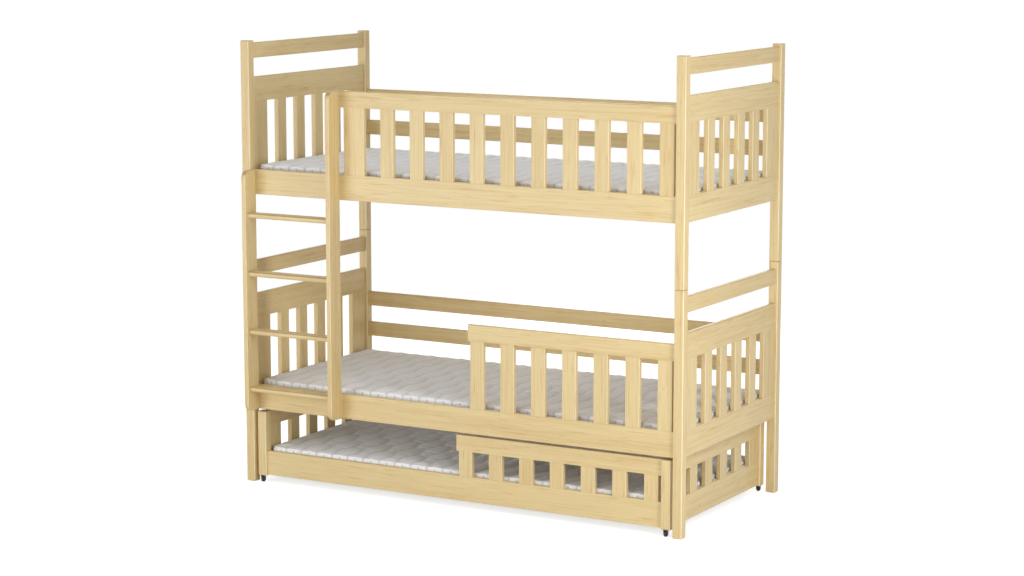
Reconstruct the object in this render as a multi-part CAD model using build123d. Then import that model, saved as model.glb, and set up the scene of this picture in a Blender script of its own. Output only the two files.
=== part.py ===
from build123d import *
import os

# Bunk bed with a trundle, in solid pine: two single beds one above the other, a ladder at the
# front left, and a low third bed on castors that rolls out forwards from underneath.
# Millimetres. +X runs along the bed, +Y towards its back, +Z up, and the floor is at zero.
# Every sub-part is placed about the bed's own middle line, and the finished nodes are then
# moved back by half the ladder's reach, so that the origin is under the middle of the whole.

# Main frame
bed_length = 1980.0
bed_width = 900.0
rail_bottom = 305.0
level_rise = 882.0

# Timber sections
post_side = 40.0
post_corner_radius = 5.0
post_end_ease = 3.0
board_thickness = 20.0
free_edge_ease = 3.0
seam_edge_ease = 1.0
side_rail_height = 100.0
slat_width = 60.0
slat_gap = 75.0

# End frames of the two beds
end_gap_height = 270.0
end_board_height = 100.0
end_top_gap = 75.0
end_top_rail_height = 62.0
lower_post_top_rise = 30.0
upper_post_top_rise = 10.0

# Rails along the back, two to a bed
back_rail_count = 2
back_rail_height = 62.0
back_rail_gap = 71.5

# Guards along the front
guard_gap_height = 267.0
guard_rail_height = 65.0
guard_post_gap = 10.0
guard_rail_overhang = 10.0

# Ladder
stringer_thickness = 20.0
stringer_depth = 75.0
stringer_corner_radius = 30.0
stringer_post_gap = 1.0
ladder_clear_width = 384.0
ladder_guard_gap = 20.0
tread_count = 4
first_tread_rise = 101.0
last_tread_drop = 170.0
tread_thickness = 21.0
tread_depth = 50.0
tread_edge_radius = 9.0

# Slatted bases and mattresses
cleat_width = 20.0
cleat_height = 20.0
cleat_end_gap = 5.0
bed_slat_thickness = 15.0
bed_slat_width = 70.0
bed_slat_count = 13
bed_slat_side_gap = 1.0
bed_slat_end_gap = 20.0
mattress_end_gap = 10.0
mattress_side_gap = 20.0
mattress_thickness = 80.0
mattress_corner_radius = 28.0
mattress_crown = 3.0
mattress_side_draw = 3.0
channel_pitch = 75.0
channel_depth = 3.0

# Trundle
trundle_end_gap = 12.0
trundle_front_setback = 8.0
trundle_back_setback = 28.0
trundle_head_gap = 10.0
trundle_rail_rise = 3.0
trundle_cap_height = 65.0
trundle_guard_post_gap = 15.0
trundle_slat_count = 12
trundle_mattress_end_gap = 8.0
trundle_mattress_side_gap = 2.0

# Castors under the trundle's posts
wheel_radius = 11.0
wheel_width = 10.0
wheel_edge_radius = 2.0
wheel_dish_radius = 7.0
wheel_dish_depth = 1.5
wheel_side_gap = 0.5
wheel_crown_gap = 1.5
axle_radius = 2.0
axle_fit = 0.03
wheel_fit = 0.08
cheek_thickness = 2.5
cheek_radius = 6.0
crown_thickness = 3.0
crown_end_reach = 9.0
crown_corner_radius = 4.0
castor_trail = 12.0
castor_post_gap = 0.5
stem_radius = 4.0
stem_length = 30.0
stem_fit = 0.1

# Stub tenons of the glued joints: uprights in rails, end boards in posts, treads in stringers
tenon_length = 12.0
tenon_thickness = 8.0
tenon_shoulder = 10.0
tenon_fit = 0.1
hole_end_room = 1.0

# Wooden dowels of the joints that come apart
dowel_radius = 4.0
dowel_length = 30.0
post_dowel_radius = 5.0
post_dowel_length = 60.0
dowel_fit = 0.05
side_rail_dowel_offset = 35.0
small_rail_dowel_offset = 15.0

# Steel connectors that pull each side rail to its posts
rod_radius = 3.0
rod_post_depth = 25.0
rod_fit = 0.05
pocket_radius = 14.0
pocket_setback = 45.0
pocket_floor_gap = 0.25
washer_fit = 0.2
washer_thickness = 12.5
nut_radius = 5.5
nut_length = 8.0
nut_corner_count = 6
rod_end_length = 2.0

# Screws that hold the ladder to the rails
screw_radius = 2.2
screw_length = 50.0
screw_fit = 0.05
screw_head_radius = 4.5
screw_head_height = 2.5
screw_offset = 10.0

# Places worked out from the sizes above
post_x = (bed_length - post_side) / 2
post_y = (bed_width - post_side) / 2
inner_x = bed_length / 2 - post_side
inner_y = bed_width / 2 - post_side
half_board = board_thickness / 2
slat_pitch = slat_width + slat_gap
end_frame_height = 2 * end_board_height + end_gap_height + end_top_gap + end_top_rail_height
lower_post_height = rail_bottom + end_frame_height + lower_post_top_rise
upper_post_top = rail_bottom + level_rise + end_frame_height + upper_post_top_rise
upper_post_height = upper_post_top - lower_post_height
upper_rail_top = rail_bottom + level_rise + side_rail_height
rail_front_y = -post_y - half_board
ladder_front_y = rail_front_y - stringer_depth
ladder_reach = -bed_width / 2 - ladder_front_y
left_stringer_x = -inner_x + stringer_post_gap
right_stringer_x = left_stringer_x + stringer_thickness + ladder_clear_width
first_tread_top = rail_bottom + first_tread_rise
tread_pitch = (upper_rail_top - last_tread_drop - first_tread_top) / (tread_count - 1)
washer_radius = pocket_radius - washer_fit
pocket_depth = half_board + washer_thickness / 2 + pocket_floor_gap
trundle_half_length = inner_x - trundle_end_gap
trundle_post_x = trundle_half_length - post_side / 2
trundle_inner_x = trundle_half_length - post_side
trundle_front_y = -bed_width / 2 + trundle_front_setback
trundle_back_y = bed_width / 2 - trundle_back_setback
trundle_middle_y = (trundle_front_y + trundle_back_y) / 2
castor_crown_bottom = 2 * wheel_radius + wheel_crown_gap
castor_crown_top = castor_crown_bottom + crown_thickness
trundle_post_bottom = castor_crown_top + castor_post_gap
trundle_top = rail_bottom - trundle_head_gap
trundle_post_height = trundle_top - trundle_post_bottom
trundle_rail_bottom = trundle_post_bottom + trundle_rail_rise
trundle_rail_top = trundle_rail_bottom + side_rail_height
trundle_gap_height = trundle_top - trundle_cap_height - trundle_rail_top
trundle_post_y = (trundle_front_y + post_side / 2, trundle_back_y - post_side / 2)

AXES = (Axis.X, Axis.Y, Axis.Z)
SIDES = (("left", -1), ("right", 1))
ENDS = (("front", -1), ("back", 1))

# Each node is a list of separate solids; the dowels of each body are collected as places.
nodes = {}
dowels = {"bunk": [], "trundle": []}


def block(low, high):
    """A plain block between two opposite corners."""
    size = [top - bottom for bottom, top in zip(low, high)]
    middle = [(top + bottom) / 2 for bottom, top in zip(low, high)]
    return Pos(*middle) * Box(*size)


def board(low, high, low_ease=free_edge_ease, high_ease=free_edge_ease):
    """A planed board between two corners, its long edges rounded on its low and its high side."""
    size = [top - bottom for bottom, top in zip(low, high)]
    order = sorted(range(len(size)), key=lambda index: size[index])
    grain, across = AXES[order[-1]], AXES[order[1]]
    solid = block(low, high)
    solid = fillet(solid.edges().filter_by(grain).sort_by(across)[:2], low_ease)
    return fillet(solid.edges().filter_by(grain).sort_by(across)[-2:], high_ease)


def post(x, y, bottom, height):
    """A square post with rounded corners and eased ends."""
    half = post_side / 2
    solid = block((x - half, y - half, bottom), (x + half, y + half, bottom + height))
    solid = fillet(solid.edges().filter_by(Axis.Z), post_corner_radius)
    ends = solid.faces().filter_by(Axis.Z)
    return fillet(ends.edges(), post_end_ease)


def peg(place, radius, length):
    """A round peg centred on a place, which is a point and an axis."""
    point, axis = place
    return Plane(origin=point, z_dir=axis.direction) * Cylinder(radius, length)


def tenoned(low, high, low_ease=free_edge_ease, high_ease=free_edge_ease):
    """A board with a stub tenon at each end, and the two mortises that the tenons stand in."""
    size = [top - bottom for bottom, top in zip(low, high)]
    order = sorted(range(len(size)), key=lambda index: size[index])
    thin, across, grain = order
    inset = [0.0, 0.0, 0.0]
    inset[thin] = (size[thin] - tenon_thickness) / 2
    inset[across] = tenon_shoulder
    inset[grain] = -tenon_length
    core_low = [value + step for value, step in zip(low, inset)]
    core_high = [value - step for value, step in zip(high, inset)]
    solid = board(low, high, low_ease, high_ease) + block(core_low, core_high)
    hole_low = [value - tenon_fit for value in core_low]
    hole_high = [value + tenon_fit for value in core_high]
    mortises = []
    for start, stop in ((low[grain] - tenon_length - hole_end_room, low[grain]),
                        (high[grain], high[grain] + tenon_length + hole_end_room)):
        hole_low[grain], hole_high[grain] = start, stop
        mortises.append(block(hole_low, hole_high))
    return solid, mortises


def share_space(first, second):
    """Whether two bounding boxes overlap."""
    lows = zip(first.min, second.min)
    highs = zip(first.max, second.max)
    return all(max(low) < min(high) for low, high in zip(lows, highs))


def cut_out(solids, tools):
    """The solids with the tools cut out of each one that they reach."""
    boxes = [tool.bounding_box(optimal=False) for tool in tools]
    cut = []
    for solid in solids:
        box = solid.bounding_box(optimal=False)
        reached = [tool for tool, reach in zip(tools, boxes) if share_space(box, reach)]
        cut.append(solid - reached if reached else solid)
    return cut


def cut_from_nodes(names, tools):
    """Cut the tools out of every solid of the named nodes that they reach."""
    for name in names:
        nodes[name] = cut_out(nodes[name], tools)


def count_gaps(run):
    """How many gaps a row of uprights has, where its end uprights are at least as wide as a slat."""
    return int((run - slat_width) // slat_pitch)


def upright_edges(start, widths, gap):
    """The low and high edge of each upright in a row, with equal gaps between them."""
    edges = []
    for width in widths:
        edges.append((start, start + width))
        start += width + gap
    return edges


def join_ends(body, points, axis, offset):
    """Note a pair of dowels at each end of a board, above and below its middle."""
    for x, y, z in points:
        dowels[body] += [((x, y, z - offset), axis), ((x, y, z + offset), axis)]


def slatted_panel(x, y_low, y_high, bottom, foot_height, gap_height, cap_height):
    """The panel across a bed's end: a board below, a board above, and uprights between them."""
    foot_top = bottom + foot_height
    cap_bottom = foot_top + gap_height
    cap_top = cap_bottom + cap_height
    x_low, x_high = x - half_board, x + half_board
    foot, post_mortises = tenoned(
        (x_low, y_low, bottom), (x_high, y_high, foot_top), high_ease=seam_edge_ease
    )
    cap, cap_mortises = tenoned(
        (x_low, y_low, cap_bottom), (x_high, y_high, cap_top), low_ease=seam_edge_ease
    )
    slat_count = count_gaps(y_high - y_low) - 1
    slats_and_gaps = slat_count * slat_pitch + slat_gap
    stile_width = (y_high - y_low - slats_and_gaps) / 2
    widths = [stile_width] + [slat_width] * slat_count + [stile_width]
    uprights, mortises = [], []
    for low, high in upright_edges(y_low, widths, slat_gap):
        upright, holes = tenoned((x_low, low, foot_top), (x_high, high, cap_bottom))
        uprights.append(upright)
        mortises += holes
    return cut_out([foot, cap], mortises), uprights, post_mortises + cap_mortises


def bunk_end(level, side, rise, post_bottom, post_height):
    """One end frame of a bed: two posts, the slatted panel and the rail above it."""
    side_name, sign = side
    name = f"{level}_{side_name}_end"
    x = sign * post_x
    bottom = rail_bottom + rise
    boards, uprights, mortises = slatted_panel(
        x, -inner_y, inner_y, bottom, end_board_height, end_gap_height, end_board_height
    )
    rail_low = bottom + 2 * end_board_height + end_gap_height + end_top_gap
    rail_high = rail_low + end_top_rail_height
    top_rail, rail_mortises = tenoned(
        (x - half_board, -inner_y, rail_low), (x + half_board, inner_y, rail_high)
    )
    posts = [post(x, end * post_y, post_bottom, post_height) for _, end in ENDS]
    nodes[f"{name}_posts"] = cut_out(posts, mortises + rail_mortises)
    nodes[f"{name}_boards"] = boards + [top_rail]
    nodes[f"{name}_slats"] = uprights


def side_rail(body, half_length, y, bottom, top_ease, dowel_offset):
    """A side rail between the front or the back posts."""
    top = bottom + side_rail_height
    low = (-half_length, y - half_board, bottom)
    high = (half_length, y + half_board, top)
    middle = (bottom + top) / 2
    points = [(-half_length, y, middle), (half_length, y, middle)]
    join_ends(body, points, Axis.X, dowel_offset)
    return board(low, high, high_ease=top_ease)


def back_rails(level, rise):
    """The two narrow rails above the side rail at the back of a bed."""
    rails = []
    low = rail_bottom + rise + side_rail_height + back_rail_gap
    for _ in range(back_rail_count):
        high = low + back_rail_height
        rails.append(board((-inner_x, post_y - half_board, low), (inner_x, post_y + half_board, high)))
        middle = (low + high) / 2
        points = [(-inner_x, post_y, middle), (inner_x, post_y, middle)]
        join_ends("bunk", points, Axis.X, small_rail_dowel_offset)
        low = high + back_rail_gap
    nodes[f"{level}_back_guard_rails"] = rails


def front_guard(body, level, y, uprights, rail_ends, base, gap_height, cap_height):
    """A guard on the front rail: uprights side by side under a top rail."""
    head = base + gap_height
    y_low, y_high = y - half_board, y + half_board
    slats, mortises = [], []
    for low, high in uprights:
        slat, holes = tenoned((low, y_low, base), (high, y_high, head))
        slats.append(slat)
        mortises += holes
    rail_left, rail_right = rail_ends
    top = head + cap_height
    rail = board((rail_left, y_low, head), (rail_right, y_high, top), low_ease=seam_edge_ease)
    join_ends(body, [(rail_right, y, (head + top) / 2)], Axis.X, small_rail_dowel_offset)
    nodes[f"{level}_guard_rail"] = [rail]
    nodes[f"{level}_guard_slats"] = slats
    cut_from_nodes([f"{level}_guard_rail", f"{level}_front_side_rail"], mortises)


def equal_guard_uprights(right):
    """The edges of the uprights, all of one width, of a guard that ends short of the middle."""
    gap_count = count_gaps(right)
    left = right - slat_width - gap_count * slat_pitch
    return upright_edges(left, [slat_width] * (gap_count + 1), slat_gap)


def upper_guard():
    """The upper bed's guard, from the ladder to the right front post."""
    ladder_side = right_stringer_x + stringer_thickness
    left = ladder_side + ladder_guard_gap
    right = inner_x - guard_post_gap
    gap_count = count_gaps(right - left)
    wide_stile = right - left - gap_count * slat_pitch
    widths = [wide_stile] + [slat_width] * gap_count
    uprights = upright_edges(left, widths, slat_gap)
    ends = (right_stringer_x, inner_x)
    sizes = upper_rail_top, guard_gap_height, guard_rail_height
    front_guard("bunk", "upper", -post_y, uprights, ends, *sizes)


def lower_guard():
    """The lower bed's guard, along the right half of its front."""
    uprights = equal_guard_uprights(inner_x - guard_post_gap)
    base = rail_bottom + side_rail_height
    ends = (uprights[0][0] - guard_rail_overhang, inner_x)
    front_guard("bunk", "lower", -post_y, uprights, ends, base, guard_gap_height, guard_rail_height)


def trundle_guard():
    """The trundle's low guard, along the right half of its front."""
    uprights = equal_guard_uprights(trundle_inner_x - trundle_guard_post_gap)
    ends = (uprights[0][0] - guard_rail_overhang, trundle_inner_x)
    sizes = trundle_rail_top, trundle_gap_height, trundle_cap_height
    front_guard("trundle", "trundle", trundle_post_y[0], uprights, ends, *sizes)


def slatted_base(level, half_length, y_low, y_high, bottom, slat_count):
    """Two cleats along the side rails' inner faces, with the slats lying across them."""
    cleat_top = bottom + cleat_height
    x_reach = half_length - cleat_end_gap
    cleats = []
    for low, high in ((y_low, y_low + cleat_width), (y_high - cleat_width, y_high)):
        corners = (-x_reach, low, bottom), (x_reach, high, cleat_top)
        cleats.append(board(*corners, seam_edge_ease, seam_edge_ease))
    first = -half_length + bed_slat_end_gap
    step = (2 * (half_length - bed_slat_end_gap) - bed_slat_width) / (slat_count - 1)
    slats = []
    for index in range(slat_count):
        low = (first + index * step, y_low + bed_slat_side_gap, cleat_top)
        high = (low[0] + bed_slat_width, y_high - bed_slat_side_gap, cleat_top + bed_slat_thickness)
        slats.append(board(low, high))
    nodes[f"{level}_cleats"] = cleats
    nodes[f"{level}_bed_slats"] = slats


def mattress(length, width, y, bottom):
    """A foam mattress: a crowned top with sewn channels across it and drawn-in sides."""
    half_length, half_width = length / 2, width / 2
    tuck = mattress_side_draw
    count = round(length / channel_pitch)
    pitch = (length - 2 * tuck) / count
    valley = mattress_thickness - channel_depth
    along = [Line((-half_length + tuck, 0), (half_length - tuck, 0))]
    for sign in (-1, 1):
        foot, head = (sign * (half_length - tuck), 0), (sign * (half_length - tuck), valley)
        bulge = (sign * half_length, valley / 2)
        along.append(ThreePointArc(foot, bulge, head))
    for index in range(count):
        start = -half_length + tuck + index * pitch
        crest = (start + pitch / 2, mattress_thickness)
        along.append(ThreePointArc((start, valley), crest, (start + pitch, valley)))
    shoulder = mattress_thickness - mattress_crown
    across = [Line((-half_width + tuck, 0), (half_width - tuck, 0))]
    for sign in (-1, 1):
        foot, head = (sign * (half_width - tuck), 0), (sign * (half_width - tuck), shoulder)
        across.append(ThreePointArc(foot, (sign * half_width, shoulder / 2), head))
    ends = [(side * (half_width - tuck), shoulder) for side in (-1, 1)]
    across.append(ThreePointArc(ends[0], (0, mattress_thickness), ends[1]))
    long_form = extrude(Plane.XZ * make_face(along), amount=half_width, both=True)
    cross_form = extrude(Plane.YZ * make_face(across), amount=half_length, both=True)
    plan = extrude(RectangleRounded(length, width, mattress_corner_radius), mattress_thickness)
    return Pos(0, y, bottom) * (cross_form & plan & long_form)


def bed(level, rise):
    """The side rails, back rails, slatted base and mattress of one of the two bunks."""
    bottom = rail_bottom + rise
    inner_face = post_y - half_board
    for end_name, sign, top_ease in (("front", -1, seam_edge_ease), ("back", 1, free_edge_ease)):
        rail = side_rail("bunk", inner_x, sign * post_y, bottom, top_ease, side_rail_dowel_offset)
        nodes[f"{level}_{end_name}_side_rail"] = [rail]
    back_rails(level, rise)
    slatted_base(level, inner_x, -inner_face, inner_face, bottom, bed_slat_count)
    base_top = bottom + cleat_height + bed_slat_thickness
    length = 2 * (post_x - half_board - mattress_end_gap)
    width = 2 * (inner_face - mattress_side_gap)
    nodes[f"{level}_mattress"] = [mattress(length, width, 0, base_top)]


def stringer(x_low, top):
    """One side of the ladder, with its front corners rounded off."""
    solid = block((x_low, ladder_front_y, rail_bottom), (x_low + stringer_thickness, rail_front_y, top))
    front_corners = solid.edges().filter_by(Axis.X).sort_by(Axis.Y)[:2]
    solid = fillet(front_corners, stringer_corner_radius)
    return fillet(solid.faces().filter_by(Axis.X).edges(), free_edge_ease)


def ladder():
    """Two stringers with the treads between them, screwed to the front rails."""
    nodes["ladder_left_stringer"] = [stringer(left_stringer_x, upper_rail_top)]
    guard_top = upper_rail_top + guard_gap_height + guard_rail_height
    nodes["ladder_right_stringer"] = [stringer(right_stringer_x, guard_top)]
    x_low = left_stringer_x + stringer_thickness
    y = (ladder_front_y + rail_front_y) / 2
    treads, mortises = [], []
    for index in range(tread_count):
        top = first_tread_top + index * tread_pitch
        low = (x_low, y - tread_depth / 2, top - tread_thickness)
        high = (right_stringer_x, y + tread_depth / 2, top)
        tread, holes = tenoned(low, high, tread_edge_radius, tread_edge_radius)
        treads.append(tread)
        mortises += holes
    nodes["ladder_treads"] = treads
    cut_from_nodes(["ladder_left_stringer", "ladder_right_stringer"], mortises)


def ladder_screws():
    """Pan-head screws from the rails' inner faces into the stringers, and their holes."""
    lower = rail_bottom + side_rail_height / 2
    upper = lower + level_rise
    guard = upper_rail_top + guard_gap_height + guard_rail_height / 2
    left_x = left_stringer_x + stringer_thickness / 2
    right_x = right_stringer_x + stringer_thickness / 2
    places = []
    for x in (left_x, right_x):
        for z in (lower, upper):
            places += [(x, z - screw_offset), (x, z + screw_offset)]
    places.append((right_x, guard))
    head_face = rail_front_y + board_thickness
    screws, holes = [], []
    for x, z in places:
        shank_middle = (x, head_face - screw_length / 2, z)
        head_middle = (x, head_face + screw_head_height / 2, z)
        shank = peg((shank_middle, Axis.Y), screw_radius, screw_length)
        head = peg((head_middle, Axis.Y), screw_head_radius, screw_head_height)
        outer_edge = head.faces().sort_by(Axis.Y)[-1].edges()
        screws.append(shank + fillet(outer_edge, screw_head_height / 2))
        hole_length = screw_length + hole_end_room
        hole_middle = (x, head_face - hole_length / 2, z)
        holes.append(peg((hole_middle, Axis.Y), screw_radius + screw_fit, hole_length))
    nodes["ladder_screws"] = screws
    wood = ["ladder_left_stringer", "ladder_right_stringer", "upper_guard_rail"]
    cut_from_nodes(wood + ["lower_front_side_rail", "upper_front_side_rail"], holes)


def connector(half_length, sign, y, inward, z):
    """The steel rod, half-round washer and nut at one end of a side rail, with their holes."""
    joint_x = sign * half_length
    pocket_x = joint_x - sign * pocket_setback
    face_y = y + inward * half_board
    nut_x = pocket_x - sign * nut_length
    rod_outer = joint_x + sign * rod_post_depth
    rod_inner = nut_x - sign * rod_end_length
    rod_middle = ((rod_outer + rod_inner) / 2, y, z)
    rod = peg((rod_middle, Axis.X), rod_radius, abs(rod_outer - rod_inner))
    hole_outer = rod_outer + sign * hole_end_room
    hole_middle = ((hole_outer + pocket_x) / 2, y, z)
    hole = peg((hole_middle, Axis.X), rod_radius + rod_fit, abs(hole_outer - pocket_x))
    pocket_middle = (pocket_x, face_y - inward * pocket_depth / 2, z)
    pocket = peg((pocket_middle, Axis.Y), pocket_radius, pocket_depth)
    disc = peg(((pocket_x, y, z), Axis.Y), washer_radius, washer_thickness)
    outer_half = block(
        (min(pocket_x, joint_x), y - washer_thickness, z - washer_radius),
        (max(pocket_x, joint_x), y + washer_thickness, z + washer_radius),
    )
    hexagon = RegularPolygon(nut_radius, nut_corner_count)
    nut_plane = Plane(origin=(pocket_x, y, z), z_dir=(-sign, 0, 0))
    nut = extrude(nut_plane * hexagon, nut_length)
    bore = peg((rod_middle, Axis.X), rod_radius + rod_fit, abs(rod_outer - rod_inner))
    washer = (disc & outer_half) - bore
    return rod, [washer, nut - bore], [hole, pocket]


def connectors(body, rails, posts, half_length):
    """A connector at both ends of each side rail of a body; rails are name, y and bottom."""
    rods, fittings, holes = [], [], []
    middle = sum(y for _, y, _ in rails) / len(rails)
    for _, y, bottom in rails:
        inward = 1 if y < middle else -1
        for _, sign in SIDES:
            z = bottom + side_rail_height / 2
            rod, pair, tools = connector(half_length, sign, y, inward, z)
            rods.append(rod)
            fittings += pair
            holes += tools
    nodes[f"{body}_connector_rods"] = rods
    nodes[f"{body}_connector_nuts"] = fittings
    cut_from_nodes([name for name, _, _ in rails] + posts, holes)


def trundle():
    """The trundle's box: posts, slatted ends, rails, guard, slatted base and mattress."""
    bottom = trundle_rail_bottom
    y_low, y_high = trundle_front_y + post_side, trundle_back_y - post_side
    for side_name, sign in SIDES:
        name = f"trundle_{side_name}_end"
        x = sign * trundle_post_x
        posts = [post(x, y, trundle_post_bottom, trundle_post_height) for y in trundle_post_y]
        boards, uprights, mortises = slatted_panel(
            x, y_low, y_high, bottom, side_rail_height, trundle_gap_height, trundle_cap_height
        )
        nodes[f"{name}_posts"] = cut_out(posts, mortises)
        nodes[f"{name}_boards"] = boards
        nodes[f"{name}_slats"] = uprights
    front_y, back_y = trundle_post_y
    for end_name, y, top_ease in (("front", front_y, seam_edge_ease), ("back", back_y, free_edge_ease)):
        rail = side_rail("trundle", trundle_inner_x, y, bottom, top_ease, small_rail_dowel_offset)
        nodes[f"trundle_{end_name}_side_rail"] = [rail]
    trundle_guard()
    front_face, back_face = front_y + half_board, back_y - half_board
    slatted_base("trundle", trundle_inner_x, front_face, back_face, bottom, trundle_slat_count)
    base_top = bottom + cleat_height + bed_slat_thickness
    length = 2 * (trundle_post_x - half_board - trundle_mattress_end_gap)
    width = back_face - front_face - 2 * trundle_mattress_side_gap
    nodes["trundle_mattress"] = [mattress(length, width, trundle_middle_y, base_top)]


def castor_wheel():
    """A wheel about the X axis through the origin, dished on both faces and bored for its axle."""
    wheel = peg(((0, 0, 0), Axis.X), wheel_radius, wheel_width)
    wheel = fillet(wheel.edges(), wheel_edge_radius)
    for sign in (-1, 1):
        dish_middle = (sign * (wheel_width - wheel_dish_depth) / 2, 0, 0)
        wheel -= peg((dish_middle, Axis.X), wheel_dish_radius, wheel_dish_depth)
    return wheel - peg(((0, 0, 0), Axis.X), axle_radius + wheel_fit, wheel_width)


def castor_fork(direction):
    """A fork and its axle: the stem stands on the Z axis and the wheel trails along Y."""
    wheel_y = direction * castor_trail
    half_width = wheel_width / 2 + wheel_side_gap + cheek_thickness
    ends = sorted((-direction * crown_end_reach, wheel_y + direction * wheel_radius))
    fork = block((-half_width, ends[0], castor_crown_bottom), (half_width, ends[1], castor_crown_top))
    fork = fillet(fork.edges().filter_by(Axis.Z), crown_corner_radius)
    for sign in (-1, 1):
        inner = sign * (half_width - cheek_thickness)
        outer = sign * half_width
        x_low, x_high = min(inner, outer), max(inner, outer)
        cheek = block(
            (x_low, wheel_y - cheek_radius, wheel_radius),
            (x_high, wheel_y + cheek_radius, castor_crown_bottom),
        )
        lobe = peg((((inner + outer) / 2, wheel_y, wheel_radius), Axis.X), cheek_radius, cheek_thickness)
        fork = fork + cheek + lobe
    stem_middle = (0, 0, castor_crown_top + stem_length / 2)
    stem = peg((stem_middle, Axis.Z), stem_radius, stem_length)
    axle_place = ((0, wheel_y, wheel_radius), Axis.X)
    bore = peg(axle_place, axle_radius + axle_fit, 2 * half_width)
    axle = peg(axle_place, axle_radius, 2 * half_width)
    return [fork + stem - bore, axle]


def castors():
    """A swivel castor under each of the trundle's posts, its stem running in the post's end."""
    holes = []
    hole_top = castor_crown_top + stem_length + hole_end_room
    for (end_name, direction), y in zip(ENDS, trundle_post_y):
        for side_name, sign in SIDES:
            name = f"{end_name}_{side_name}"
            x = sign * trundle_post_x
            nodes[f"castor_fork_{name}"] = [Pos(x, y, 0) * solid for solid in castor_fork(direction)]
            wheel_place = Pos(x, y + direction * castor_trail, wheel_radius)
            nodes[f"castor_wheel_{name}"] = [wheel_place * castor_wheel()]
            hole_length = hole_top - trundle_post_bottom
            hole_middle = (x, y, trundle_post_bottom + hole_length / 2)
            holes.append(peg((hole_middle, Axis.Z), stem_radius + stem_fit, hole_length))
    cut_from_nodes([f"trundle_{side_name}_end_posts" for side_name, _ in SIDES], holes)


def post_dowels():
    """A stout dowel in each joint between a lower and an upper post, and its hole."""
    pegs, holes = [], []
    for _, side in SIDES:
        for _, end in ENDS:
            place = ((side * post_x, end * post_y, lower_post_height), Axis.Z)
            pegs.append(peg(place, post_dowel_radius, post_dowel_length))
            hole_length = post_dowel_length + 2 * hole_end_room
            holes.append(peg(place, post_dowel_radius + dowel_fit, hole_length))
    nodes["post_dowels"] = pegs
    posts = [f"{level}_{side}_end_posts" for level in ("lower", "upper") for side, _ in SIDES]
    cut_from_nodes(posts, holes)


def frame_dowels(body, wood):
    """The dowels noted for a body, and their holes in its timber."""
    places = dowels[body]
    hole_length = dowel_length + 2 * hole_end_room
    nodes[f"{body}_dowels"] = [peg(place, dowel_radius, dowel_length) for place in places]
    cut_from_nodes(wood, [peg(place, dowel_radius + dowel_fit, hole_length) for place in places])


def build():
    """Make every node: the bunk's timber and fittings, then the trundle's."""
    for side in SIDES:
        bunk_end("lower", side, 0, 0, lower_post_height)
        bunk_end("upper", side, level_rise, lower_post_height, upper_post_height)
    for level, rise in (("lower", 0), ("upper", level_rise)):
        bed(level, rise)
    upper_guard()
    lower_guard()
    ladder()
    knocked_down = ("posts", "side_rail", "guard_rail", "guard_rails")
    frame_dowels("bunk", [name for name in nodes if name.endswith(knocked_down)])
    post_dowels()
    ladder_screws()
    rails = []
    for level, rise in (("lower", 0), ("upper", level_rise)):
        rails.append((f"{level}_front_side_rail", -post_y, rail_bottom + rise))
        rails.append((f"{level}_back_side_rail", post_y, rail_bottom + rise))
    posts = [name for name in nodes if name.endswith("posts")]
    connectors("bunk", rails, posts, inner_x)
    trundle()
    trundle_wood = [name for name in nodes if name.startswith("trundle") and name.endswith(knocked_down)]
    frame_dowels("trundle", trundle_wood)
    rails = [
        ("trundle_front_side_rail", trundle_post_y[0], trundle_rail_bottom),
        ("trundle_back_side_rail", trundle_post_y[1], trundle_rail_bottom),
    ]
    posts = [name for name in trundle_wood if name.endswith("posts")]
    connectors("trundle", rails, posts, trundle_inner_x)
    castors()


build()
os.makedirs("parts", exist_ok=True)
origin_shift = Pos(0, ladder_reach / 2, 0)
for name, solids in nodes.items():
    placed = [origin_shift * solid for piece in solids for solid in piece.solids()]
    export_step(Compound(children=placed), f"parts/{name}.step")
print(len(nodes), "nodes,", sum(len(solids) for solids in nodes.values()), "solids")
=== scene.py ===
import logging
import math
from dataclasses import dataclass, field, replace
from enum import Enum

import bmesh
import bpy
import numpy as np
from mathutils import Euler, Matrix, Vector


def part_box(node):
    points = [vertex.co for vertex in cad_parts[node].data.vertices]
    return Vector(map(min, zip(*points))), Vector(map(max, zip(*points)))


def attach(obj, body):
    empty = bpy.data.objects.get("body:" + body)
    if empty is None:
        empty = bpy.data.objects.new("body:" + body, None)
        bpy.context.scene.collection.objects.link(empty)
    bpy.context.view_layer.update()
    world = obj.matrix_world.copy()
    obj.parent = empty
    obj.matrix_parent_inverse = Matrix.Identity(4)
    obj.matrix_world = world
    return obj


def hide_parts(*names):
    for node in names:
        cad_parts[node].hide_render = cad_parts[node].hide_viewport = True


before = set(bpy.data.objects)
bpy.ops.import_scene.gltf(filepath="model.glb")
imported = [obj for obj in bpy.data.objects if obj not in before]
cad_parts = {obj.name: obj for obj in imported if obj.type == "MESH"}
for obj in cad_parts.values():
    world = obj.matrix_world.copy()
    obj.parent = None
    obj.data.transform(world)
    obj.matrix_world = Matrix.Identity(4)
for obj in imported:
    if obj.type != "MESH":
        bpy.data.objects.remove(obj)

# Finishes and soft parts of a pine bunk bed with a trundle, built around its fixed frame.
# Metres. +X runs along the bed, +Y towards its back, +Z up, and the floor is at zero.
# The timber and the fittings keep their modelled shapes and get their finish here. The three
# mattresses are made here as quilted covers over foam, in place of their plain solids.

log = logging.getLogger("bunk_bed")

Colour = tuple[float, float, float, float]
Triple = tuple[float, float, float]
Span = tuple[float, float]
Socket = bpy.types.NodeSocket
WHITE: Colour = (1.0, 1.0, 1.0, 1.0)

# On the covers, in metres: the UV map that follows the cloth, and how far the stitches are.
CLOTH_MAP, SEAM_MAP = "cloth", "to_seam"


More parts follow.
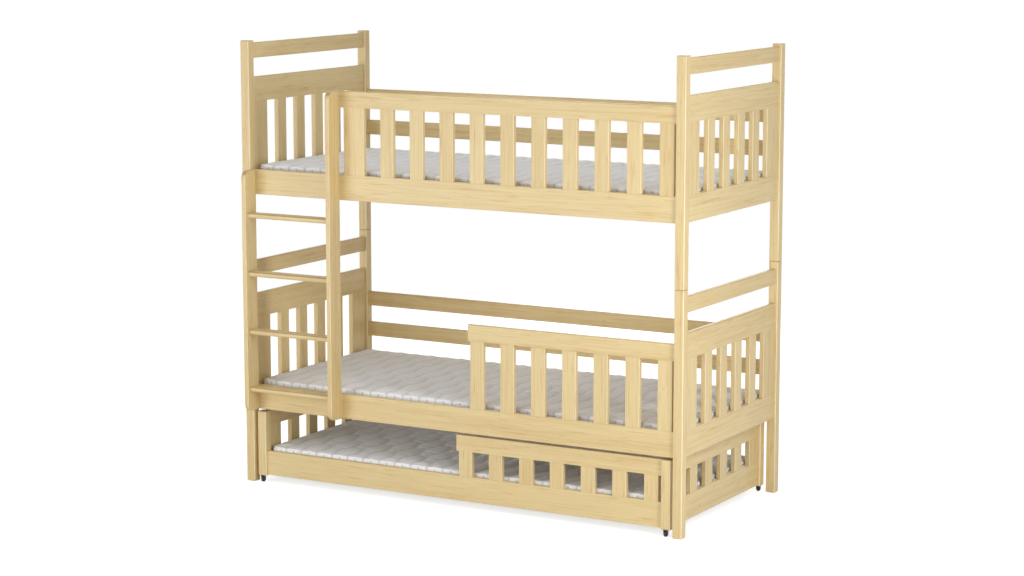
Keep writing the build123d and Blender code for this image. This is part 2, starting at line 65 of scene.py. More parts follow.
def colour_of(*screen: int) -> Colour:
    """The linear colour of a screen colour.

    Args:
        screen: Screen red, green and blue, 0 to 255.

    Returns:
        Linear red, green and blue, with an alpha of 1.
    """
    shares = (part / 255.0 for part in screen)
    linear = (share / 12.92 if share <= 0.04045 else ((share + 0.055) / 1.055) ** 2.4
              for share in shares)
    return *linear, 1.0


class ShaderSheet:
    """A shader node tree with short calls that add nodes and join them."""

    def __init__(self, tree: bpy.types.NodeTree) -> None:
        """Take over a node tree.

        Args:
            tree: The tree that new nodes go into.
        """
        self.tree = tree
        self.inlet: bpy.types.Node | None = None
        self.outlet: bpy.types.Node | None = None

    @classmethod
    def group(cls, name: str, inputs: dict[str, str], outputs: dict[str, str]) -> "ShaderSheet":
        """Start a node group.

        Args:
            name: The group's name.
            inputs: Socket names with their kinds: Float, Vector or Color.
            outputs: The same for what the group puts out.

        Returns:
            A sheet on the new group, with its input and output nodes placed.
        """
        tree = bpy.data.node_groups.new(name, "ShaderNodeTree")
        for way, sockets in (("INPUT", inputs), ("OUTPUT", outputs)):
            for socket, kind in sockets.items():
                tree.interface.new_socket(
                    name=socket, in_out=way, socket_type=f"NodeSocket{kind}")
        sheet = cls(tree)
        sheet.inlet = tree.nodes.new("NodeGroupInput")
        sheet.outlet = tree.nodes.new("NodeGroupOutput")
        return sheet

    def given(self, name: str) -> Socket:
        """The group's input of that name."""
        return self.inlet.outputs[name]

    def give(self, name: str, value: Socket) -> None:
        """Join a value to the group's output of that name."""
        self.tree.links.new(value, self.outlet.inputs[name])

    def add(self, kind: str, **settings: object) -> bpy.types.Node:
        """Add a node.

        Args:
            kind: The node's type, without its ShaderNode prefix.
            settings: Properties to set on the node.

        Returns:
            The new node.
        """
        node = self.tree.nodes.new(f"ShaderNode{kind}")
        for name, value in settings.items():
            setattr(node, name, value)
        return node

    def feed(self, socket: Socket, value: object) -> None:
        """Join a socket to an input, or set the input to a plain value.

        Args:
            socket: The input.
            value: The socket that feeds it, or its plain value.
        """
        if isinstance(value, Socket):
            self.tree.links.new(value, socket)
        else:
            socket.default_value = value

    def fill(self, node: bpy.types.Node, *values: object, **named: object) -> bpy.types.Node:
        """Feed a node's inputs.

        Args:
            node: The node.
            values: What feeds its inputs, in their order.
            named: Input names, with underscores for spaces, and what feeds them.

        Returns:
            The same node.
        """
        for socket, value in zip(node.inputs, values):
            self.feed(socket, value)
        for name, value in named.items():
            self.feed(node.inputs[name.replace("_", " ")], value)
        return node

    def place(self, group: "ShaderSheet", **values: object) -> bpy.types.Node:
        """Place a node group and feed its inputs by name."""
        return self.fill(self.add("Group", node_tree=group.tree), **values)

    def math(self, operation: str, *values: object, clamp: bool = False) -> Socket:
        """Work out one value from others."""
        node = self.add("Math", operation=operation, use_clamp=clamp)
        return self.fill(node, *values).outputs[0]

    def times(self, value: Socket, factor: object) -> Socket:
        """A value times another."""
        return self.math("MULTIPLY", value, factor)

    def total(self, *parts: object, clamp: bool = False) -> Socket:
        """Add values up in their order.

        Args:
            parts: The values.
            clamp: Whether the sum is kept between 0 and 1.

        Returns:
            Their sum.
        """
        whole, *others, last = parts
        for part in others:
            whole = self.math("ADD", whole, part)
        return self.math("ADD", whole, last, clamp=clamp)

    def weigh(self, *pairs: tuple[Socket, object]) -> Socket:
        """The sum of several values, each times its weight."""
        return self.total(*(self.times(value, weight) for value, weight in pairs))

    def vector(self, operation: str, *values: object) -> Socket:
        """Work out one vector from others."""
        return self.fill(self.add("VectorMath", operation=operation), *values).outputs[0]

    def split(self, vector: Socket) -> tuple[Socket, ...]:
        """The three parts of a vector."""
        return tuple(self.fill(self.add("SeparateXYZ"), vector).outputs)

    def join(self, *parts: object) -> Socket:
        """A vector from its three parts."""
        return self.fill(self.add("CombineXYZ"), *parts).outputs[0]

    def noise(self, place: Socket, scale: object, detail: float = 2.0,
              roughness: float = 0.5) -> Socket:
        """Soft noise from 0 to 1 at a place."""
        node = self.fill(self.add("TexNoise"), Vector=place, Scale=scale, Detail=detail,
                         Roughness=roughness)
        return node.outputs["Fac"]

    def remap(self, value: Socket, low: object, high: object, start: object = 0.0,
              end: object = 1.0) -> Socket:
        """Carry a value smoothly from one range to another."""
        node = self.add("MapRange", interpolation_type="SMOOTHSTEP")
        return self.fill(node, value, low, high, start, end).outputs[0]

    def mix(self, share: object, first: object, second: object) -> Socket:
        """Mix two colours.

        Args:
            share: The second colour's share.
            first: The first colour.
            second: The second colour.

        Returns:
            The mixed colour.
        """
        node = self.fill(self.add("Mix", data_type="RGBA"), share)
        inlets = [socket for socket in node.inputs if socket.type == "RGBA"]
        for socket, colour in zip(inlets, (first, second)):
            self.feed(socket, colour)
        return next(socket for socket in node.outputs if socket.type == "RGBA")

    def bump(self, height: Socket, depth: float) -> Socket:
        """A normal bent by a height, whose full range stands for a depth in metres."""
        node = self.fill(self.add("Bump"), Strength=1.0, Distance=depth, Height=height)
        return node.outputs["Normal"]


@dataclass(frozen=True)
class GrainNoise:
    """Noise drawn out along the grain, and the span in which marks made of it fade in."""

    across: float
    along: float
    detail: float
    roughness: float
    fade: Span = (0.0, 1.0)


SWAY = GrainNoise(across=9.0, along=1.1, detail=2.0, roughness=0.45)
FIBRES = GrainNoise(across=1300.0, along=32.0, detail=2.0, roughness=0.6)
PATCHES = GrainNoise(across=18.0, along=2.2, detail=2.0, roughness=0.5, fade=(0.25, 0.7))
STREAKS = GrainNoise(across=150.0, along=3.5, detail=3.0, roughness=0.55, fade=(0.35, 0.72))
LINES = GrainNoise(across=520.0, along=6.0, detail=2.0, roughness=0.6, fade=(0.5, 0.68))
WARMTH = GrainNoise(across=95.0, along=7.0, detail=2.0, roughness=0.5, fade=(0.58, 0.74))
FLECKS = GrainNoise(across=210.0, along=30.0, detail=1.0, roughness=0.4, fade=(0.68, 0.8))


class SharedEffects:
    """The node groups that several finishes use, each built once."""

    def __init__(self) -> None:
        """Build every group."""
        self.boards = self._boards()
        self.figure = self._figure()
        self.tufts = self._tufts()
        self.handling = self._handling()
        self.edges = self._edges()

    @staticmethod
    def _boards() -> ShaderSheet:
        """Tells the boards of a family apart by the cell each one lies in.

        Returns:
            The group, which puts out the place from the cell's middle and a draw per cell.
        """
        sheet = ShaderSheet.group(
            "separate_boards",
            {"Place": "Vector", "Start": "Vector", "Pitch": "Vector", "Seed": "Float"},
            {"Local": "Vector", "Random": "Vector"},
        )
        offset = sheet.vector("SUBTRACT", sheet.given("Place"), sheet.given("Start"))
        cell = sheet.vector("FLOOR", sheet.vector("DIVIDE", offset, sheet.given("Pitch")))
        middle = sheet.vector("ADD", cell, (0.5, 0.5, 0.5))
        centre = sheet.vector("MULTIPLY", middle, sheet.given("Pitch"))
        draw = sheet.add("TexWhiteNoise", noise_dimensions="4D")
        sheet.fill(draw, Vector=cell, W=sheet.given("Seed"))
        sheet.give("Local", sheet.vector("SUBTRACT", offset, centre))
        sheet.give("Random", draw.outputs["Color"])
        return sheet

    @staticmethod
    def _figure() -> ShaderSheet:
        """The figure of sawn softwood: rings round a heart, streaks, fibres and resin flecks.

        Local holds the place across the board, through its thickness and along its grain.

        Returns:
            The group.
        """
        random_reach = (37.0, 53.0, 71.0)
        heart_spread, heart_depth = 0.5, 0.06
        year_scale, year_swing = 70.0, 2.2
        late_rise, late_fall, least_late = (0.35, 0.9), (0.93, 1.0), 0.35
        fibre_share, tone_share, cloud_share, end_share = 0.28, 0.22, 0.35, 0.5
        late_gloss, fibre_gloss = -0.05, 0.1
        late_height, fibre_height = 0.45, 0.35
        sheet = ShaderSheet.group(
            "softwood_figure",
            {
                "Local": "Vector", "Random": "Vector", "End Face": "Float", "Light": "Color",
                "Dark": "Color", "Fleck": "Color", "Ring Pitch": "Float", "Wander": "Float",
                "Ring Share": "Float", "Streak Share": "Float", "Line Share": "Float",
                "Warm Share": "Float", "Fleck Share": "Float",
            },
            {"Color": "Color", "Gloss Loss": "Float", "Height": "Float"},
        )
        local = sheet.given("Local")
        across, through, _ = sheet.split(local)
        draw_a, draw_b, draw_c = sheet.split(sheet.given("Random"))
        offset = sheet.vector("MULTIPLY", sheet.given("Random"), random_reach)

        def drawn(noise: GrainNoise) -> Socket:
            """The noise at the board's own place."""
            place = sheet.vector("MULTIPLY", local, (noise.across, noise.across, noise.along))
            return sheet.noise(sheet.vector("ADD", place, offset), 1.0, noise.detail,
                               noise.roughness)

        def marks(noise: GrainNoise, share: str) -> Socket:
            """Marks made of the noise, as strong as the input of that name says."""
            return sheet.times(sheet.remap(drawn(noise), *noise.fade), sheet.given(share))

        def about_middle(value: Socket, share: object) -> Socket:
            """A value that runs from 0 to 1, made to run to both sides of 0."""
            return sheet.times(sheet.math("SUBTRACT", value, 0.5), share)

        heart_x = sheet.total(across, about_middle(draw_a, heart_spread))
        heart_y = sheet.total(
            through, sheet.math("MULTIPLY_ADD", draw_b, heart_spread / 2, heart_depth))
        square = sheet.weigh((heart_x, heart_x), (heart_y, heart_y))
        radius = sheet.total(sheet.math("SQRT", square),
                             about_middle(drawn(SWAY), sheet.given("Wander")))
        years = sheet.noise(
            sheet.join(sheet.times(radius, year_scale), draw_c, draw_b), 1.0, detail=1.0)
        turns = sheet.total(sheet.math("DIVIDE", radius, sheet.given("Ring Pitch")),
                            sheet.times(years, year_swing))
        ring = sheet.math("FRACT", turns)
        late = sheet.times(sheet.remap(ring, *late_rise), sheet.remap(ring, *late_fall, 1.0, 0.0))
        patches, fibres = drawn(PATCHES), drawn(FIBRES)
        strength = sheet.remap(patches, *PATCHES.fade, least_late, 1.0)
        share = sheet.total(
            sheet.times(sheet.times(late, strength), sheet.given("Ring Share")),
            marks(STREAKS, "Streak Share"),
            about_middle(fibres, fibre_share),
            marks(LINES, "Line Share"),
            about_middle(draw_c, tone_share),
            about_middle(patches, cloud_share),
            sheet.times(sheet.given("End Face"), end_share),
            clamp=True,
        )
        wood = sheet.mix(share, sheet.given("Light"), sheet.given("Dark"))
        for noise, amount in ((WARMTH, "Warm Share"), (FLECKS, "Fleck Share")):
            wood = sheet.mix(marks(noise, amount), wood, sheet.given("Fleck"))
        sheet.give("Color", wood)
        sheet.give("Gloss Loss", sheet.weigh((late, late_gloss), (fibres, fibre_gloss)))
        sheet.give("Height", sheet.weigh((late, late_height), (fibres, fibre_height)))
        return sheet

    @staticmethod
    def _tufts() -> ShaderSheet:
        """A fine knitted cloth: small rows of loops that cross the piece's own cloth map.

        Returns:
            The group.
        """
        half_loop, lean_share = 0.5, 1.2
        fuzz_scale, fuzz_roughness, fuzz_height = 900.0, 0.6, 0.5
        loop_shade, fuzz_shade = 0.6, 0.4
        sheet = ShaderSheet.group(
            "knitted_cloth",
            {"Cloth Place": "Vector", "Loop Width": "Float"},
            {"Height": "Float", "Shade": "Float"},
        )
        place = sheet.given("Cloth Place")
        column, row = (sheet.math("DIVIDE", way, sheet.given("Loop Width"))
                       for way in sheet.split(place)[:2])
        wales = sheet.math("PINGPONG", column, half_loop)
        ribs = sheet.math("PINGPONG", sheet.total(row, sheet.times(wales, lean_share)), half_loop)
        loops = sheet.times(sheet.times(ribs, 2.0), sheet.times(wales, 2.0))
        fuzz = sheet.noise(place, fuzz_scale, roughness=fuzz_roughness)
        sheet.give("Height", sheet.total(loops, sheet.times(fuzz, fuzz_height)))
        sheet.give("Shade", sheet.weigh((loops, loop_shade), (fuzz, fuzz_shade)))
        return sheet

    @staticmethod
    def _edges() -> ShaderSheet:
        """The rounded edges of square timber, told by a face that leans away from all axes.

        Returns:
            The group, which puts out upright edges, which get a painted highlight, and those that
            face upwards, which get painted shade.
        """
        flat, upright, upper = (0.75, 0.985), (0.1, 0.35), (0.15, 0.5)
        sheet = ShaderSheet.group(
            "rounded_edges", {"Facing": "Vector"}, {"Upright": "Float", "Upper": "Float"})
        parts = sheet.split(sheet.given("Facing"))
        x, y, z = (sheet.math("ABSOLUTE", part) for part in parts)
        most = sheet.math("MAXIMUM", sheet.math("MAXIMUM", x, y), z)
        rounded = sheet.remap(most, *flat, 1.0, 0.0)
        sheet.give("Upright", sheet.times(rounded, sheet.remap(z, *upright, 1.0, 0.0)))
        sheet.give("Upper", sheet.times(rounded, sheet.remap(parts[2], *upper)))
        return sheet

    @staticmethod
    def _handling() -> ShaderSheet:
        """Faint smudges and fine scuffs, as on parts that were handled when they were fitted.

        Returns:
            The group.
        """
        smudged, scuffed, finer = (0.3, 0.75), (0.45, 0.8), 9.0
        sheet = ShaderSheet.group(
            "handling_marks",
            {"Place": "Vector", "Scale": "Float"},
            {"Smudge": "Float", "Scuff": "Float"},
        )
        place, scale = sheet.given("Place"), sheet.given("Scale")
        wide = sheet.noise(place, scale, detail=3.0, roughness=0.55)
        fine = sheet.noise(place, sheet.times(scale, finer), detail=2.0, roughness=0.7)
        sheet.give("Smudge", sheet.remap(wide, *smudged))
        sheet.give("Scuff", sheet.remap(fine, *scuffed))
        return sheet


class Lay(Enum):
    """How a board lies: the axes that its grain, its width and its thickness follow."""

    RAIL = "XZY"
    SHELF = "XYZ"
    END_BOARD = "YZX"
    BED_SLAT = "YXZ"
    FACING_END = "ZYX"
    FACING_FRONT = "ZXY"


# Cells along one axis, as the first one's start and their pitch: one that holds the whole
# bed, or two that meet in its middle.
ROOM = 4.0
WHOLE: Span = (-ROOM / 2, ROOM)
HALVES: Span = (0.0, ROOM)


@dataclass(frozen=True)
class BoardFamily:
    """Boards that share a finish, and the cells along each axis that tell them apart."""

    name: str
    lay: Lay
    seed: float
    x: Span = WHOLE
    y: Span = WHOLE
    z: Span = WHOLE


@dataclass(frozen=True)
class SoftwoodFinish:
    """Planed softwood, raw or, as the values here say, under a clear lacquer."""

    name: str = "clear_pine"
    light: Colour = colour_of(228, 206, 154)
    dark: Colour = colour_of(203, 170, 109)
    fleck: Colour = colour_of(197, 145, 80)
    # corner: a painted highlight on the upright rounded edges, in place of the lamps' reflection
    # in the lacquer
    corner: Colour = colour_of(252, 243, 220)
    corner_share: float = 0.75
    # Painted shade on the rounded edges that face upwards, where little light falls from above.
    ridge: Colour = colour_of(150, 114, 70)
    ridge_share: float = 0.7
    ring_pitch: float = 0.0056
    wander: float = 0.008
    ring_share: float = 0.24
    streak_share: float = 0.28
    line_share: float = 0.3
    warm_share: float = 0.38
    fleck_share: float = 0.45
    roughness: float = 0.42
    coat: float = 0.2
    coat_roughness: float = 0.26
    specular: float = 0.32
    relief: float = 0.00012
    end_span: Span = (0.6, 0.95)

    def material(self, effects: SharedEffects, family: BoardFamily) -> bpy.types.Material:
        """The finish on one family of boards.

        Args:
            effects: The shared node groups.
            family: How the boards lie and are told apart.

        Returns:
            The new material.
        """
        material, sheet, shader = new_material(f"{self.name}_{family.name}")
        place = sheet.add("TexCoord")
        start, pitch = zip(family.x, family.y, family.z)
        boards = sheet.place(effects.boards, Place=place.outputs["Object"], Start=start,
                             Pitch=pitch, Seed=family.seed)
        along, across, through = ("XYZ".index(axis) for axis in family.lay.value)
        local = sheet.split(boards.outputs["Local"])
        facing = sheet.split(place.outputs["Normal"])
        figure = sheet.place(
            effects.figure,
            Local=sheet.join(local[across], local[through], local[along]),
            Random=boards.outputs["Random"],
            End_Face=sheet.remap(sheet.math("ABSOLUTE", facing[along]), *self.end_span),
            Light=self.light, Dark=self.dark, Fleck=self.fleck, Ring_Pitch=self.ring_pitch,
            Wander=self.wander, Ring_Share=self.ring_share, Streak_Share=self.streak_share,
            Line_Share=self.line_share, Warm_Share=self.warm_share,
            Fleck_Share=self.fleck_share,
        ).outputs
        edges = sheet.place(effects.edges, Facing=place.outputs["Normal"]).outputs
        # Painted highlight: the upright rounded edges are mixed towards the pale corner colour.
        corner = sheet.times(edges["Upright"], self.corner_share)
        # Painted shade: the upward rounded edges are mixed towards a dark brown.
        ridge = sheet.times(edges["Upper"], self.ridge_share)
        wood = sheet.mix(corner, figure["Color"], self.corner)
        sheet.fill(
            shader,
            Base_Color=sheet.mix(ridge, wood, self.ridge),
            Roughness=sheet.total(figure["Gloss Loss"], self.roughness),
            Normal=sheet.bump(figure["Height"], self.relief),
            Coat_Weight=self.coat,
            Coat_Roughness=self.coat_roughness,
            Specular_IOR_Level=self.specular,
        )
        return material


@dataclass(frozen=True)
class QuiltFinish:
    """A knitted white cover, sewn to its wadding in wavy channels."""

    name: str = "quilted_cover"
    cloth: Colour = colour_of(251, 252, 255)
    # shade: the darker colour for the knit, wadding and soil tones and for the painted crease
    # shade
    shade: Colour = colour_of(210, 212, 216)
    thread: Colour = colour_of(238, 238, 240)
    roughness: float = 0.85
    specular: float = 0.2
    sheen: float = 0.25
    sheen_roughness: float = 0.5
    relief: float = 0.0005
    loop_width: float = 0.0016
    loop_shade: float = 0.2
    loop_height: float = 0.4
    thread_width: float = 0.0009
    thread_height: float = 0.8
    hole_depth: float = 0.6
    stitch_length: float = 0.004
    stitch_span: Span = (0.1, 0.16)
    # Painted shade in the creases along the seams and, stronger, at the border's stitches: where
    # it starts and fades, and its shares.
    valley_start: float = 0.001
    valley_width: float = 0.013
    valley_share: float = 0.38
    tick_share: float = 0.9
    wadding_scale: float = 95.0
    wadding_span: Span = (0.35, 0.7)
    wadding_shade: float = 0.16
    wadding_height: float = 1.6
    soil_scale: float = 6.0
    soil_shade: float = 0.1
    soil_roughness: float = 0.1
    border_span: Span = (0.35, 0.8)
    # Painted light: the share of the knit, wadding and soil tones that the upright border keeps,
    # which makes the cover's sides paler than its top.
    border_shade: float = 0.1

    def material(self, effects: SharedEffects) -> bpy.types.Material:
        """The cover's finish.

        Args:
            effects: The shared node groups.

        Returns:
            The new material.
        """
        material, sheet, shader = new_material(self.name)
        cloth = sheet.add("UVMap", uv_map=CLOTH_MAP).outputs["UV"]
        knit = sheet.place(
            effects.tufts, Cloth_Place=cloth, Loop_Width=self.loop_width).outputs
        beside = sheet.add("Attribute", attribute_name=SEAM_MAP).outputs["Fac"]
        # Painted shade in the creases beside each seam.
        painted_crease_shade = sheet.remap(beside, self.valley_start, self.valley_width, 1.0, 0.0)
        seam = sheet.remap(beside, self.thread_width / 2, self.thread_width, 1.0, 0.0)
        stitches = sheet.math("DIVIDE", sheet.split(cloth)[1], self.stitch_length)
        dash = sheet.remap(sheet.math("PINGPONG", stitches, 0.5), *self.stitch_span)
        thread = sheet.times(seam, dash)
        wadding = sheet.noise(cloth, self.wadding_scale, roughness=0.55)
        soil = sheet.noise(cloth, self.soil_scale, detail=3.0)
        level = sheet.split(sheet.add("TexCoord").outputs["Normal"])[2]
        border = sheet.remap(sheet.math("ABSOLUTE", level), *self.border_span, 1.0, 0.0)
        folds = sheet.remap(wadding, *self.wadding_span)
        plain = sheet.weigh((knit["Shade"], self.loop_shade), (folds, self.wadding_shade),
                            (soil, self.soil_shade))
        # Painted light: the upright border loses most of these tones, so it shows paler than the
        # top.
        plain = sheet.times(plain, sheet.remap(border, 0.0, 1.0, 1.0, self.border_shade))
        # sewn: how strong the painted crease shade is, from the top to the upright border.
        sewn = sheet.remap(border, 0.0, 1.0, self.valley_share, self.tick_share)
        tones_and_painted_shade = sheet.total(plain, sheet.times(painted_crease_shade, sewn), clamp=True)
        holes = sheet.math("SUBTRACT", seam, thread)
        height = sheet.weigh(
            (knit["Height"], self.loop_height), (thread, self.thread_height),
            (holes, -self.hole_depth), (wadding, self.wadding_height))
        sheet.fill(
            shader,
            Base_Color=sheet.mix(thread, sheet.mix(tones_and_painted_shade, self.cloth, self.shade), self.thread),
            Roughness=sheet.total(sheet.times(soil, self.soil_roughness), self.roughness),
            Normal=sheet.bump(height, self.relief),
            Sheen_Weight=self.sheen,
            Sheen_Roughness=self.sheen_roughness,
            Specular_IOR_Level=self.specular,
        )
        return material


@dataclass(frozen=True)
class HardFinish:
    """A moulded, turned or plated finish with faint marks of handling."""

    name: str
    clean: Colour
    marked: Colour
    mark_scale: float
    metallic: float
    roughness: float
    roughness_spread: float
    grain_scale: float
    grain_relief: float

    def material(self, effects: SharedEffects) -> bpy.types.Material:
        """The finish as a material.

        Args:
            effects: The shared node groups.

        Returns:
            The new material.
        """
        material, sheet, shader = new_material(self.name)
        place = sheet.add("TexCoord").outputs["Object"]
        marks = sheet.place(effects.handling, Place=place, Scale=self.mark_scale).outputs
        scuffs = sheet.times(marks["Scuff"], self.roughness_spread)
        grain = sheet.noise(place, self.grain_scale, roughness=0.6)
        sheet.fill(
            shader,
            Base_Color=sheet.mix(marks["Smudge"], self.clean, self.marked),
            Roughness=sheet.total(scuffs, self.roughness),
            Normal=sheet.bump(grain, self.grain_relief),
            Metallic=self.metallic,
        )
        return material


CLEAR_PINE = SoftwoodFinish()
RAW_PINE = SoftwoodFinish(
    name="raw_pine",
    light=colour_of(238, 222, 186),
    dark=colour_of(206, 172, 122),
    fleck=colour_of(150, 100, 58),
    # A weaker painted highlight on the upright rounded edges.
    corner=colour_of(246, 234, 206),
    corner_share=0.3,
    # Weaker painted shade on the upward rounded edges.
    ridge=colour_of(196, 160, 112),
    ridge_share=0.3,
    ring_pitch=0.005,
    wander=0.02,
    ring_share=0.6,
    streak_share=0.3,
    line_share=0.35,
    warm_share=0.3,
    fleck_share=0.7,
    roughness=0.66,
    coat=0.0,
    coat_roughness=0.5,
    specular=0.4,
    relief=0.0002,
)
BEECH = replace(
    RAW_PINE,
    name="beech",
    light=colour_of(226, 190, 148),
    dark=colour_of(196, 150, 106),
    fleck=colour_of(150, 96, 60),
    # No painted highlight and no painted shade on the rounded edges of beech.
    corner_share=0.0,
    ridge_share=0.0,
    ring_pitch=0.002,
    wander=0.01,
    ring_share=0.3,
    line_share=0.2,
    warm_share=0.2,
    fleck_share=0.9,
    roughness=0.6,
    relief=0.0001,
)
BLACK_PLASTIC = HardFinish(
    name="castor_plastic",
    clean=colour_of(24, 24, 26),
    marked=colour_of(40, 40, 43),
    mark_scale=55.0,
    metallic=0.0,
    roughness=0.4,
    roughness_spread=0.2,
    grain_scale=2600.0,
    grain_relief=0.00006,
)
ZINC = HardFinish(
    name="zinc_plate",
    clean=colour_of(206, 208, 212),
    marked=colour_of(176, 178, 180),
    mark_scale=70.0,
    metallic=1.0,
    roughness=0.26,
    roughness_spread=0.22,
    grain_scale=1500.0,
    grain_relief=0.00003,
)


def new_material(name: str) -> tuple[bpy.types.Material, ShaderSheet, bpy.types.Node]:
    """Start a material with a Principled shader joined to its output.

    Args:
        name: The material's name.

    Returns:
        The material, a sheet on its nodes, and its shader.
    """
    material = bpy.data.materials.new(name)
    material.use_nodes = True
    material.node_tree.nodes.clear()
    sheet = ShaderSheet(material.node_tree)
    shader = sheet.add("BsdfPrincipled")
    sheet.fill(sheet.add("OutputMaterial"), Surface=shader.outputs["BSDF"])
    return material, sheet, shader


@dataclass
class DressedPart:
    """A part of the bed that keeps its modelled shape and gets its finish here."""

    effects: SharedEffects

    def dress(self, names: list[str], finish: SoftwoodFinish | HardFinish,
              *family: BoardFamily) -> None:
        """Give CAD nodes a finish, in place of the material that they came with.

        Args:
            names: The nodes.
            finish: What they get.
            family: For timber, how its boards lie and are told apart.
        """
        material = finish.material(self.effects, *family)
        for name in names:
            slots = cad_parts[name].data.materials
            slots.clear()
            slots.append(material)
            log.info("%s in %s", name, material.name)


@dataclass
class SlattedBox(DressedPart):
    """Posts, slatted ends, rails and guards, which the bunks and the trundle have alike."""

    levels: tuple[str, ...]
    label: str
    rails: str
    first_seed: int
    slat_pitch: float = 0.135
    slat_width: float = 0.06

    def cells(self) -> tuple[Span, Span, Span, Span]:
        """The cells of the depth, and of the posts', boards' and rails' heights."""
        raise NotImplementedError

    def build(self) -> None:
        """Dress every board."""
        depth, posts, boards, rails = self.cells()
        slats = (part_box(f"{self.levels[0]}_left_end_slats")[0].y, self.slat_pitch)
        guard_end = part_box(f"{self.levels[0]}_guard_slats")[1].x
        guard = (guard_end + (self.slat_pitch - self.slat_width) / 2, self.slat_pitch)
        families = (
            ("end_posts", "posts", Lay.FACING_END, HALVES, depth, posts),
            ("end_boards", "end_boards", Lay.END_BOARD, HALVES, WHOLE, boards),
            ("end_slats", "end_slats", Lay.FACING_END, HALVES, slats, posts),
            (("rail", "rails"), self.rails, Lay.RAIL, WHOLE, depth, rails),
            ("guard_slats", "guard_slats", Lay.FACING_FRONT, guard, WHOLE, posts),
        )
        names = [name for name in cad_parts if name.startswith(self.levels)]
        for seed, (ending, kind, lay, *cells) in enumerate(families, self.first_seed):
            family = BoardFamily(f"{self.label}{kind}", lay, float(seed), *cells)
            self.dress([name for name in names if name.endswith(ending)], CLEAR_PINE, family)


@dataclass
class TimberFrame(SlattedBox):
    """The two bunks, whose boards are told apart by their level too."""

    levels: tuple[str, ...] = ("lower", "upper")
    label: str = ""
    rails: str = "side_rails"
    first_seed: int = 1
    level_rise: float = 0.882
    lower_post_height: float = 0.942
    rail_bottom: float = 0.305
    board_cells: int = 5
    rail_cells: int = 6

    def cells(self) -> tuple[Span, Span, Span, Span]:
        """The bunks' cells.

        Returns:
            Those of the depth, and of the posts', boards' and rails' heights.
        """
        middle = sum(corner.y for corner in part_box("lower_left_end_boards")) / 2
        boards, rails = ((self.rail_bottom, self.level_rise / count)
                         for count in (self.board_cells, self.rail_cells))
        return (middle, ROOM), (0.0, self.lower_post_height), boards, rails


@dataclass
class TrundleBox(SlattedBox):
    """The trundle, one level high."""

    levels: tuple[str, ...] = ("trundle",)
    label: str = "trundle_"
    rails: str = "rails"
    first_seed: int = 11
    board_pitch: float = 0.2

    def cells(self) -> tuple[Span, Span, Span, Span]:
        """The trundle's cells, in the same order."""
        return HALVES, WHOLE, (0.0, self.board_pitch), (0.0, self.board_pitch)


@dataclass
class Ladder(DressedPart):
    """Two stringers and their treads."""

    tread_pitch: float = 0.237

    def build(self) -> None:
        """Dress the ladder."""
        low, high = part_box("ladder_treads")
        sides, height = ((low.x + high.x) / 2, ROOM), (WHOLE[0], 2 * ROOM)
        steps = (low.z - self.tread_pitch / 2, self.tread_pitch)
        stringers = BoardFamily("stringers", Lay.FACING_END, seed=6.0, x=sides, z=height)
        treads = BoardFamily("treads", Lay.SHELF, seed=7.0, z=steps)
        self.dress(["ladder_left_stringer", "ladder_right_stringer"], CLEAR_PINE, stringers)
        self.dress(["ladder_treads"], CLEAR_PINE, treads)


@dataclass
class SlattedBases(DressedPart):
    """The cleats and the flat slats under each mattress, in raw wood."""

    slat_width: float = 0.07
    cleat_level: float = 0.4
    slat_counts: tuple[tuple[str, int], ...] = (("lower", 13), ("upper", 13), ("trundle", 12))
    first_seed: int = 21

    def build(self) -> None:
        """Dress the three slatted bases."""
        cleats = BoardFamily("cleats", Lay.SHELF, float(self.first_seed), y=HALVES,
                             z=(0.0, self.cleat_level))
        self.dress([f"{level}_cleats" for level, _ in self.slat_counts], RAW_PINE, cleats)
        for seed, (level, slat_count) in enumerate(self.slat_counts, self.first_seed + 1):
            name = f"{level}_bed_slats"
            low, high = (corner.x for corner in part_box(name))
            pitch = (high - low - self.slat_width) / (slat_count - 1)
            start = low - (pitch - self.slat_width) / 2
            slats = BoardFamily(name, Lay.BED_SLAT, float(seed), x=(start, pitch))
            self.dress([name], RAW_PINE, slats)


@dataclass
class Fittings(DressedPart):
    """Dowels, steel connectors and screws."""

    dowel_cell: float = 0.06

    def build(self) -> None:
        """Dress the fittings."""
        cells = (WHOLE[0], self.dowel_cell)
        lying = BoardFamily("rail_dowels", Lay.SHELF, seed=31.0, x=cells, y=cells, z=cells)
        standing = BoardFamily("post_dowels", Lay.FACING_END, seed=32.0)
        self.dress(["bunk_dowels", "trundle_dowels"], BEECH, lying)
        self.dress(["post_dowels"], BEECH, standing)
        steel = [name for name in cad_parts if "_connector_" in name]
        self.dress([*steel, "ladder_screws"], ZINC)


@dataclass
class Castors(DressedPart):
    """Four black castors under the trundle."""

    def build(self) -> None:
        """Dress forks and wheels."""
        names = [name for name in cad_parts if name.startswith("castor_")]
        self.dress(names, BLACK_PLASTIC)


SEWN_POINTS = "sewn"
COVER_CLOTH: dict[str, object] = {
    "quality": 5,
    "mass": 0.3,
    "tension_stiffness": 12.0,
    "compression_stiffness": 12.0,
    "shear_stiffness": 4.0,
    "bending_stiffness": 0.15,
    "use_pressure": True,
    "uniform_pressure_force": 4.0,
    "shrink_min": -0.025,
    "vertex_group_mass": SEWN_POINTS,
}


@dataclass
class Patch:
    """Points of a cover, their places on its cloth, and where they are sewn."""

    places: np.ndarray
    cloth: np.ndarray
    sewn: np.ndarray
    to_seam: np.ndarray

    @classmethod
    def joined(cls, patches: list["Patch"]) -> "Patch":
        """Several patches as one, in their order."""
        columns = zip(*(vars(patch).values() for patch in patches))
        return cls(*(np.concatenate(column) for column in columns))


